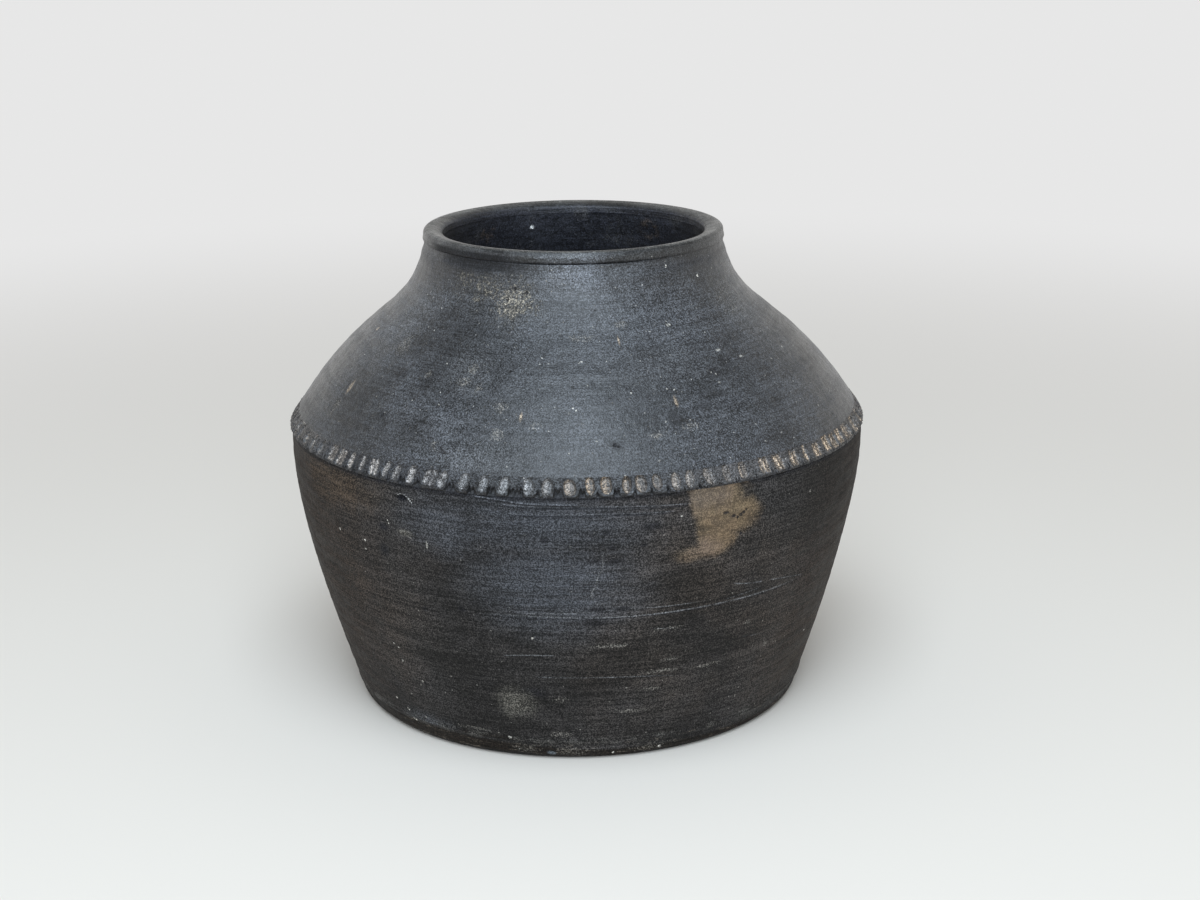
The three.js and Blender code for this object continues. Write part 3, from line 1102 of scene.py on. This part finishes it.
def wall_crumbs(clay):
    """Pale crumbs, the worn patch and the marks that the heel carries up the wall."""
    # Dark brown along the foot of the wall, with the painted shade of the heel
    clay.tint(clay.patch(-22, 9.6, 22, 2.6, 0.6, 0.8), heel_brown_and_shade, 0.75)
    crumbs = clay.union(
        clay.patches(
            0.6, 2, (18.5, 74.6, 8, 1.2), (6.6, 67.5, 11.5, 1.3), (12.5, 28, 9.5, 1),
            (16.3, 40.1, 6, 1.2), (-31.8, 119.4, 2.6, 1.4), (37.4, 68.3, 2.6, 1.5),
            (44.7, 51.1, 2.8, 2),
        ),
        clay.patches(0.7, 2, (-3.5, 36.5, 5, 2), (19.8, 56.6, 6, 1.6), (-3.6, 14.8, 8, 2.2)),
        clay.patch(-24, 13.9, 15, 1.5, 0.8, 2.2),
        clay.patches(0.7, 2.2, (17.3, 50.1, 10, 1.2), (29.3, 48.6, 10, 1.2)),
        clay.patch(116, 52, 14, 3.0, 0.7, 2.4),
    )
    clay.tint(clay.scattered(crumbs, 1100), crumb_grey, 0.60)
    clay.tint(clay.patch(-38, 11.2, 15, 4.5, 0.8, 1.6), heel_blue, 0.42)
    pale = clay.union(
        clay.patch(-13.4, 33.6, 9.0, 7.0, 0.85, 1.2), clay.patch(-33, 121, 4, 1.6, 0.7, 2.0),
        clay.patch(-140, 88, 13, 9, 0.8, 2.2),
    )
    clay.tint(pale, worn_grey, 0.66)
    heel = clay.times(
        clay.span(clay.height, 8.2, 9.6), clay.span(clay.height, 13.4, 11.2),
        clay.span(clay.ragged, -0.06, 0.14),
    )
    clay.tint(heel, dust_grey, 0.36)


def heel_look():
    clay = black_clay("base_clay_look", wall_dark, wall_light, 0.55, 0.75)
    worn = clay.times(
        clay.span(clay.height, 7.6, 9.2), clay.span(clay.ragged, -0.06, 0.14),
    )
    # A dark brown heel strip, which also paints the shade under the undercut heel
    from_right = clay.math("ABSOLUTE", clay.math("SUBTRACT", clay.degrees, 55.0))
    strip_edge = clay.math("ADD", clay.height, clay.span(from_right, 85.0, 42.0, 0.0, 3.6))
    clay.tint(clay.span(strip_edge, 9.2, 7.8), heel_brown_and_shade, 0.86)
    scuffs = clay.span(clay.streaks(110, 600, 4, 0.75), 0.56, 0.66)
    clay.tint(scuffs, scuff_brown, 0.55)
    clay.tint(worn, dust_grey, 0.32)
    crumbs = clay.patches(
        0.7, 2, (-12, 5.5, 9, 2.2), (-1, 4.5, 12, 3), (18, 5, 14, 2.6), (-120, 5, 18, 2.6),
    )
    clay.tint(clay.scattered(crumbs, 900), heel_crumbs, 0.38)
    specks = clay.flecks(
        (-43.4, 9.4, 0.9), (-42.8, 8.8, 0.8), (20, 3.6, 1), (-96, 6, 0.9), (8.6, 3, 0.8),
        (-13.8, 4.7, 0.6),
    )
    clay.tint(specks, pale_grit, 0.8)
    clay.tint(clay.patch(-6.2, 3.4, 2.4, 1.2, 0.5, 1.4), heel_flake, 0.42)
    sooty_shaded_inside(clay)
    return clay.finish(wall_gloss)


def burnished_look(name):
    """The polished clay of the shoulder and the neck."""
    clay = black_clay(name, burnish_dark, burnish_light, 0.32, 0.44, 0.62)
    wide_lines = clay.streaks(12, 260, 4, 0.6)
    clay.tint(clay.span(wide_lines, 0.55, 0.75), burnish_dark, 0.30)
    clay.tint(clay.span(wide_lines, 0.45, 0.25), blue_grey, 0.25)
    clay.emboss(wide_lines, 0.05 * mm)
    return clay


def shoulder_look():
    clay = burnished_look("burnished_clay_look")
    shoulder_smoke(clay)
    lime_crust(clay)
    shoulder_chips(clay)
    shoulder_smears(clay)
    sooty_shaded_inside(clay)
    return clay.finish(polish_gloss, polish_dust)


def shoulder_smoke(clay):
    """Wide soft patches of smoke with painted shade, darker ones at the left, dust, and warmer brown at
    the flanks.
    """
    # Smoke all round, and at the left painted shade where the shoulder turns away from the window
    smoky_and_painted_shade = clay.union(
        clay.patches(0.8, 1.2, (-56, 168, 40, 15), (-64, 159, 48, 10), (-4, 221, 34, 9, 0.8)),
        clay.patches(0.8, 1.6, (35, 186, 13, 7, 0.5), (120, 190, 40, 22), (-140, 178, 46, 18)),
    )
    clay.tint(smoky_and_painted_shade, smoke_and_shade_grey, 0.40, rough=0.12)
    # Painted shade at the left of the shoulder
    soot_and_painted_shade_left = clay.patches(0.8, 1.4, (-54, 172, 17, 21), (-34, 166, 12, 7))
    clay.tint(soot_and_painted_shade_left, smoke_and_shade_dark, 0.48)
    dusty = clay.patches(
        0.8, 1.2, (64, 207, 24, 15), (-58, 203, 20, 13), (-27, 194, 14, 7), (24, 196, 30, 8, 0.6),
        (-19, 160, 20, 6, 0.8),
    )
    clay.tint(dusty, shoulder_dust, 0.45)
    # Warmer brown at both flanks
    warm_flanks = clay.patches(0.8, 1, (-77, 170, 22, 28), (79, 174, 20, 32))
    clay.tint(warm_flanks, shoulder_flank_brown, 0.35)


def shoulder_chips(clay):
    """Bare orange chips, white grits and black pits."""
    orange = clay.union(
        clay.patches(0.5, 0.5, (-60.1, 177.1, 1.5, 2.8), (-10.9, 177.6, 0.8, 1.7)),
        clay.patch(23.0, 181.5, 1.1, 2.0, 0.5, 1.2), clay.patch(-72.3, 199.1, 1.4, 0.8, 0.5, 0.4),
        clay.patch(13.2, 206.4, 0.7, 1.7, 0.5, 0.8),
    )
    clay.tint(orange, bare_orange, 0.62)
    white = clay.flecks(
        (57.1, 189.5, 0.7), (65.6, 191.3, 0.7), (35.7, 186.2, 0.6), (21.9, 186.8, 0.6),
        (23.6, 186.3, 0.6), (13.3, 186.5, 0.65), (2.3, 199, 0.5), (1.7, 198.6, 0.45),
        (-33.5, 195.3, 0.5), (-43.4, 172.6, 0.7), (40.3, 159.9, 0.6), (-30.4, 179.6, 0.5),
        (-37.7, 179.4, 0.5), (-7.8, 214.5, 0.5), (-8.3, 198.1, 0.45), (0.1, 181.6, 0.55),
        (0.8, 180.6, 0.6), (3.5, 190, 0.5), (128, 185, 0.8), (-119, 196, 0.9), (170, 168, 0.8),
        (-160, 205, 0.8),
    )
    clay.tint(white, pale_grit, 0.60, depth=0.06 * mm)
    pits = clay.flecks(
        (42.2, 193.9, 0.8), (41, 193.3, 1), (40, 192.5, 0.8), (36.4, 191.3, 1), (35.4, 190.9, 1.2),
        (34.4, 190.3, 0.8), (-25.8, 161.4, 1.4), (-26.4, 162.6, 0.9), (23.3, 174.4, 1.1),
        (24.2, 173.2, 0.9), (8.2, 166.6, 1.1), (8.9, 165.8, 0.8), (-43.7, 171.4, 1.1),
        (-30.7, 178.8, 0.8), (-46.2, 188.7, 0.8), (-44.2, 187.5, 0.7), (-60.9, 168.4, 0.8),
        (-160, 180, 1.1),
    )
    clay.tint(pits, soot_black, 0.9, rough=0.35, depth=-0.55 * mm)


def shoulder_smears(clay):
    """Black smears with sparks of bare clay in them, and scattered crumbs."""
    smears = clay.union(
        clay.patches(0.7, 2.6, (46.5, 193.4, 4, 1.4), (33.3, 182.3, 7, 1.2), (29, 178.4, 6, 1.4)),
        clay.patches(
            0.7, 2.2, (41, 193.2, 4.6, 2), (35.6, 190.6, 4.4, 2), (22, 175, 3.4, 3),
            (-45.2, 188.4, 5, 1.8),
        ),
        clay.patches(0.7, 1.6, (8.2, 166.4, 3, 1.8), (-43.8, 171.4, 3.4, 1.8)),
        clay.patch(-61.6, 177.1, 0.8, 3.0, 0.6, 0.8), clay.patch(-61.4, 168.4, 1.6, 3.6, 0.6, 1.8),
    )
    clay.tint(smears, soot_black, 0.62, rough=0.15)
    sparks = clay.union(
        clay.patches(0.5, 0.6, (41.4, 198, 2, 0.45), (47.1, 193.9, 2, 0.5), (30.1, 210.6, 2, 0.6)),
        clay.flecks((35.2, 190.4, 0.6), (36.1, 189.6, 0.6), (41.2, 193.2, 0.5), (24.9, 173.9, 0.5)),
    )
    clay.tint(sparks, pale_grit, 0.50)
    crumbs = clay.union(
        clay.patches(
            0.7, 2.2, (24.8, 172, 5, 2.4), (-25.3, 194.6, 3.2, 1.8), (-22.1, 187.7, 3.4, 2.2),
            (-15.8, 180.8, 4.4, 2.4), (-15.4, 170.1, 3.6, 3), (14.7, 212.6, 4, 1.4),
            (2.8, 207.8, 7.5, 1.2), (-61, 167.2, 2.4, 4),
        ),
        clay.patches(
            0.6, 2.2, (-28, 163.4, 2.4, 2.6), (-26.7, 189.3, 4.2, 1.6), (-7.8, 174.1, 3.4, 1.6),
            (-37.1, 190, 2.4, 2),
        ),
        clay.patches(0.7, 2.6, (17.4, 169.4, 4.6, 1.8), (-118, 176, 9, 4), (142, 200, 12, 6)),
        clay.patch(-52, 198, 7, 4, 0.8, 1.8),
    )
    clay.tint(clay.scattered(crumbs, 900), crumb_brown, 0.58)


def lime_crust(clay):
    """Crumbs of pale lime below the rim, thick at the left and faint at the right."""
    crust = clay.union(
        clay.patches(
            0.8, 2.6, (-19.5, 222, 17, 10), (-30, 228, 18, 8, 0.75), (-41, 229, 14, 6, 0.70),
        ),
        clay.patches(
            0.6, 2, (-42.6, 230.8, 4.5, 2.6), (-34, 227.5, 4.5, 2.6), (-34.3, 222.8, 4.5, 2.2),
            (-17.5, 219.5, 8, 3.6),
        ),
        clay.patches(
            0.8, 2.4, (61, 217, 16, 7, 0.42), (-3, 234, 12, 5, 0.35), (158, 226, 30, 8, 0.5),
        ),
    )
    lime_mask = clay.scattered(crust, 720)
    clay.tint(crust, crust_dust, 0.30)
    clay.tint(lime_mask, lime, 0.50, depth=0.20 * mm)
    holes = clay.flecks((-20, 228.1, 1.1), (-15.7, 226.8, 1.1), (-22.1, 223, 0.9))
    clay.tint(holes, soot_black, 0.9)
    clay.roughen(crust, 0.15)
    clay.roughen(holes, 0.3)
    clay.emboss(holes, -0.7 * mm)


def neck_look():
    clay = burnished_look("neck_clay_look")
    lime_crust(clay)
    # Smoke, partly the painted shadow of the rim in the cove beneath it
    smoke_and_painted_shade = clay.patches(0.7, 1.2, (-52, 233.5, 72, 9.5), (62, 236.8, 62, 5))
    clay.tint(smoke_and_painted_shade, soot_black, 0.60)
    # Painted shadow under the rim's overhang at the left
    painted_shadow_under_rim = clay.patch(-37, 238.4, 50, 4.2, 0.5, 1.2)
    clay.tint(painted_shadow_under_rim, soot_black, 0.95, rough=0.55)
    # Painted highlight of the window on the front of the neck
    clay.tint(clay.patch(1, 235.5, 20, 6, 0.8, 1.4), neck_painted_highlight, 0.38)
    line = clay.trail([(-26, 239.9), (-10, 240.1), (8, 240.0), (24, 239.8), (42, 239.9)], 0.55)
    clay.tint(line, soot_black, 0.85)
    spot = clay.flecks((36, 236.2, 0.9), (50, 229, 0.8))
    clay.tint(spot, pale_grit, 0.9)
    white_drop = clay.ball((-22.9 * mm, 64.0 * mm, 232.6 * mm), 2.2 * mm)
    sooty_shaded_inside(clay)
    clay.tint(white_drop, drop_white)
    smudges = clay.union(
        clay.ball((-46 * mm, 50 * mm, 231 * mm), 7 * mm),
        clay.ball((40 * mm, 55 * mm, 232 * mm), 8 * mm),
    )
    smudges = clay.times(smudges, clay.span(clay.noise(clay.place, 150, 5, 0.7), 0.44, 0.60))
    clay.tint(smudges, fired_brown, 0.55)
    return clay.finish(polish_gloss, polish_dust)


def rim_look():
    clay = black_clay("rim_clay_look", rim_dark, rim_light, 0.28, 0.42)
    worn = clay.times(
        clay.span(clay.height, 245.3, 245.9), clay.span(clay.ragged, -0.2, 0.05, 0.4, 1.0),
    )
    clay.tint(worn, dust_grey, 0.50)
    # Painted shade on the underside of the roll
    under = clay.span(clay.height, 241.9, 240.9)
    clay.tint(under, soot_black, 0.60)
    # A dark smudge at the left, partly the painted shadow of the rim's overhang
    smudge_and_painted_shadow = clay.times(
        clay.span(clay.height, 245.0, 242.6),
        clay.span(clay.degrees, -16.0, -28.0), clay.span(clay.degrees, -68.0, -56.0),
    )
    clay.tint(smudge_and_painted_shadow, soot_black, 0.95, rough=0.60)
    # Painted highlight of the window along the front of the roll
    shine = clay.patch(2.0, 243.2, 30, 1.9, 0.8, 1.4)
    clay.tint(shine, rim_painted_highlight, 0.34, rough=-0.08)
    sooty_shaded_inside(clay)
    return clay.finish(polish_gloss, polish_dust)


def band_look():
    clay = black_clay("band_clay_look", burnish_dark, burnish_light, 0.32, 0.44, 0.62)
    hollow, light, warmth, edge, shade = map(clay.painted, band_layers)
    flank = clay.union(
        clay.span(clay.math("ABSOLUTE", clay.degrees), 46.0, 70.0),
        clay.times(clay.span(clay.degrees, 12.0, 30.0), 0.7),
    )
    clay.tint(flank, band_earth, 0.60)
    # Painted shade between the notches at the front left
    left_front_painted_shade = clay.times(clay.span(clay.degrees, -64.0, -52.0), clay.span(clay.degrees, -14.0, -28.0))
    clay.tint(left_front_painted_shade, soot_black, 0.50)
    crumb = clay.noise(clay.vector("MULTIPLY", clay.place, (1, 1, 0.4)), 1500, 2, 0.8)
    # Painted shade along the notches' edges, deeper at the far left
    far_left_painted_shade = clay.times(edge, clay.span(clay.degrees, -58.0, -68.0))
    clay.tint(edge, soot_black, 0.70)
    clay.tint(far_left_painted_shade, soot_black, 0.85)
    bare = clay.mix(warmth, notch_grey, notch_ochre)
    strength = clay.times(hollow, light, clay.span(crumb, 0.34, 0.64, 0.62, 1.10))
    clay.tint(strength, bare, 0.90)
    # Painted shadow under the band's nose and in the hollows under the lands
    under = clay.times(
        clay.span(clay.height, 147.6, 146.4), clay.span(clay.ragged, -0.22, 0.0, 0.6, 1.0),
    )
    clay.tint(clay.union(under, clay.span(shade, 0.15, 0.65)), soot_black, 0.88)
    fold = [(-87, 155.4), (-82, 155.3), (-77, 155.1), (-73, 154.7), (-69.5, 154.0)]
    clay.tint(clay.trail(fold, 0.70), fold_pale, 0.90)
    clay.roughen(shade, 0.25)
    clay.roughen(hollow, -0.04)
    clay.emboss(crumb, 0.16 * mm)
    return clay.finish(polish_gloss, polish_dust)


def seen_share(tree):
    """1 where a ray comes from the camera, straight or by way of a mirror or glass."""
    path = add_node(tree, "ShaderNodeLightPath", {})
    seen = path.outputs["Is Camera Ray"]
    for ray in ("Is Glossy Ray", "Is Transmission Ray"):
        either = {0: seen, 1: path.outputs[ray]}
        seen = add_node(tree, "ShaderNodeMath", either, operation="MAXIMUM").outputs[0]
    return seen


def stage_floor():
    """A wide pale floor under the urn, which pales into white far away."""
    mesh = bpy.data.meshes.new("floor")
    corners = [(x * floor_reach, y * floor_reach, 0) for x, y in ((-1, -1), (1, -1), (1, 1), (-1, 1))]
    mesh.from_pydata(corners, [], [(0, 1, 2, 3)])
    floor = bpy.data.objects.new("floor", mesh)
    bpy.context.collection.objects.link(floor)
    floor.location.z = -floor_drop
    material = bpy.data.materials.new("floor_paper")
    material.use_nodes = True
    tree = material.node_tree
    paper = tree.nodes["Principled BSDF"]
    fill(tree, paper, {"Base Color": floor_paper, "Roughness": 0.9, "Specular IOR Level": 0.2})
    far = add_node(tree, "ShaderNodeEmission", {"Color": far_white})
    place = add_node(tree, "ShaderNodeTexCoord", {}).outputs["Object"]
    away = add_node(tree, "ShaderNodeVectorMath", {0: place}, operation="LENGTH").outputs["Value"]
    fade = add_node(
        tree, "ShaderNodeMapRange", {"Value": away, "From Min": fade_from, "From Max": fade_to},
        interpolation_type="SMOOTHSTEP",
    )
    both = {0: fade.outputs[0], 1: seen_share(tree)}
    share = add_node(tree, "ShaderNodeMath", both, operation="MULTIPLY").outputs[0]
    blend = add_node(tree, "ShaderNodeMixShader", {0: share, 1: paper.outputs[0], 2: far.outputs[0]})
    fill(tree, tree.nodes["Material Output"], {"Surface": blend.outputs[0]})
    mesh.materials.append(material)


def soft_light():
    """Pale surroundings, dimmer overhead, and a tall soft window in front and above."""
    world = bpy.data.worlds.new("studio")
    bpy.context.scene.world = world
    world.use_nodes = True
    tree = world.node_tree
    direction = add_node(tree, "ShaderNodeTexCoord", {}).outputs["Generated"]
    rise = add_node(tree, "ShaderNodeSeparateXYZ", {0: direction}).outputs[2]
    ceiling = add_node(tree, "ShaderNodeMapRange", {
        "Value": rise, "From Min": 0.10, "From Max": 0.65, "To Min": 1.0, "To Max": overhead_glow,
    })
    strength = add_node(tree, "ShaderNodeMapRange", {
        "Value": seen_share(tree), "To Min": room_glow, "To Max": ceiling.outputs[0],
    })
    room = {"Color": room_white, "Strength": strength.outputs[0]}
    fill(tree, tree.nodes["Background"], room)
    lamp_data = bpy.data.lights.new("window", "AREA")
    lamp_data.shape = "RECTANGLE"
    lamp_data.size, lamp_data.size_y = window_size
    lamp_data.energy = window_power
    lamp_data.color = window_color
    lamp = bpy.data.objects.new("window", lamp_data)
    bpy.context.collection.objects.link(lamp)
    lamp.location = window_place
    lamp.rotation_euler = (math.radians(window_tilt), 0, math.radians(window_turn))
    lamp.visible_camera = False


def photo_camera():
    data = bpy.data.cameras.new("photo_camera")
    data.lens = camera_lens
    data.sensor_width = camera_sensor
    camera = bpy.data.objects.new("photo_camera", data)
    bpy.context.collection.objects.link(camera)
    camera.location = camera_place
    camera.rotation_mode = "XYZ"
    tilt = Matrix.Rotation(math.radians(90 - camera_tilt), 3, "X")
    roll = Matrix.Rotation(math.radians(camera_roll), 3, "Z")
    camera.rotation_euler = (tilt @ roll).to_euler()
    bpy.context.scene.camera = camera


def dress(piece, node, material):
    piece.data.materials.append(material)
    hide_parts(node)
    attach(piece, "root")


photo_camera()
soft_light()
stage_floor()
dress(base_slab(), "base_slab", heel_look())
dress(lower_wall(), "lower_wall", wall_look())
dress(shoulder_wall(), "shoulder_wall", shoulder_look())
dress(neck_collar(), "neck_collar", neck_look())
dress(rim_roll(), "rim_roll", rim_look())
dress(notched_band(), "notched_band", band_look())

bpy.context.scene.view_settings.view_transform = "Standard"
